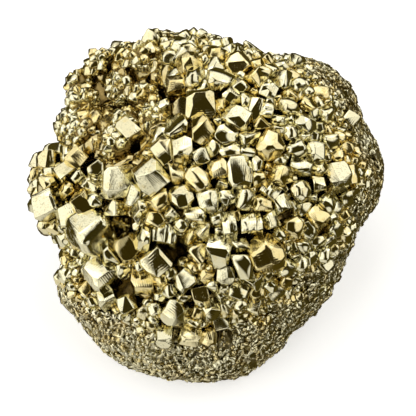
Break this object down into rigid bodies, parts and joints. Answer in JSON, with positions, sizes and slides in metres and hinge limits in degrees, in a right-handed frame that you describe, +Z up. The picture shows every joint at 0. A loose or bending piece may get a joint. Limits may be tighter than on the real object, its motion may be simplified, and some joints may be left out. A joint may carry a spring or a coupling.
{
  "type": "pyrite specimen",
  "caption": "Hand-sized cluster of intergrown brassy pyrite crystals on a massive, fine-grained body with a flat broken base.",
  "frame": {"origin": "middle of the flat broken base's outline box, on the surface that the specimen lies on", "axes": "+Z up from the base, +X to the right and -Y towards a viewer who faces the crystal side, which leans back from that viewer"},
  "size_m": [0.0713, 0.0681, 0.0435],
  "materials": {
    "massive_pyrite": "fine-grained metallic pyrite, satin, duller and browner than the crystals, with a rough granular surface",
    "crystal_pyrite": "mirror-bright pale brass-yellow crystal faces with fine parallel striations and slightly worn edges"
  },
  "bodies": {
    "root": {"matrix": "massive_pyrite", "rounded_left_largest": "crystal_pyrite", "block_lower_left": "crystal_pyrite", "cube_left_edge": "crystal_pyrite", "cube_left_shoulder": "crystal_pyrite", "block_left_upper": "crystal_pyrite", "cube_left_upper": "crystal_pyrite", "cube_left_lower": "crystal_pyrite", "golden_left": "crystal_pyrite", "pentagonal_left": "crystal_pyrite", "pentagonal_yellow": "crystal_pyrite", "block_corner_left": "crystal_pyrite", "olive_lower_left": "crystal_pyrite", "dark_face_top": "crystal_pyrite", "rounded_top": "crystal_pyrite", "yellow_top": "crystal_pyrite", "pentagonal_top": "crystal_pyrite", "block_top_left": "crystal_pyrite", "rounded_top_right": "crystal_pyrite", "dark_ball_top_right": "crystal_pyrite", "pentagonal_top_right": "crystal_pyrite", "wedge_top_right": "crystal_pyrite", "black_face_right": "crystal_pyrite", "striated_right_upper": "crystal_pyrite", "striated_right_lower": "crystal_pyrite", "block_far_right": "crystal_pyrite", "cube_middle_left": "crystal_pyrite", "cube_middle": "crystal_pyrite", "ring_middle": "crystal_pyrite", "black_face_middle": "crystal_pyrite", "bright_middle": "crystal_pyrite", "tall_middle": "crystal_pyrite", "hexagonal_middle": "crystal_pyrite", "dark_pyramid_right": "crystal_pyrite", "striated_box_middle": "crystal_pyrite", "striated_tall_middle": "crystal_pyrite", "cube_lower_middle": "crystal_pyrite", "hexagonal_lower": "crystal_pyrite", "dark_ball_lower": "crystal_pyrite", "wedge_right": "crystal_pyrite", "dark_ball_right": "crystal_pyrite", "long_block_right": "crystal_pyrite", "bright_right": "crystal_pyrite", "striated_right_middle": "crystal_pyrite", "bright_right_middle": "crystal_pyrite", "corner_right": "crystal_pyrite", "olive_cube_lower": "crystal_pyrite", "striated_block_lower": "crystal_pyrite", "bright_block_lower": "crystal_pyrite", "hexagonal_face_lower": "crystal_pyrite", "olive_lower": "crystal_pyrite", "light_lower": "crystal_pyrite", "dark_square_lower": "crystal_pyrite", "bright_bottom": "crystal_pyrite", "bright_bottom_left": "crystal_pyrite", "pentagonal_bottom": "crystal_pyrite", "black_face_lower": "crystal_pyrite", "bright_block_right": "crystal_pyrite", "tall_block_right": "crystal_pyrite"}
  },
  "joints": []
}
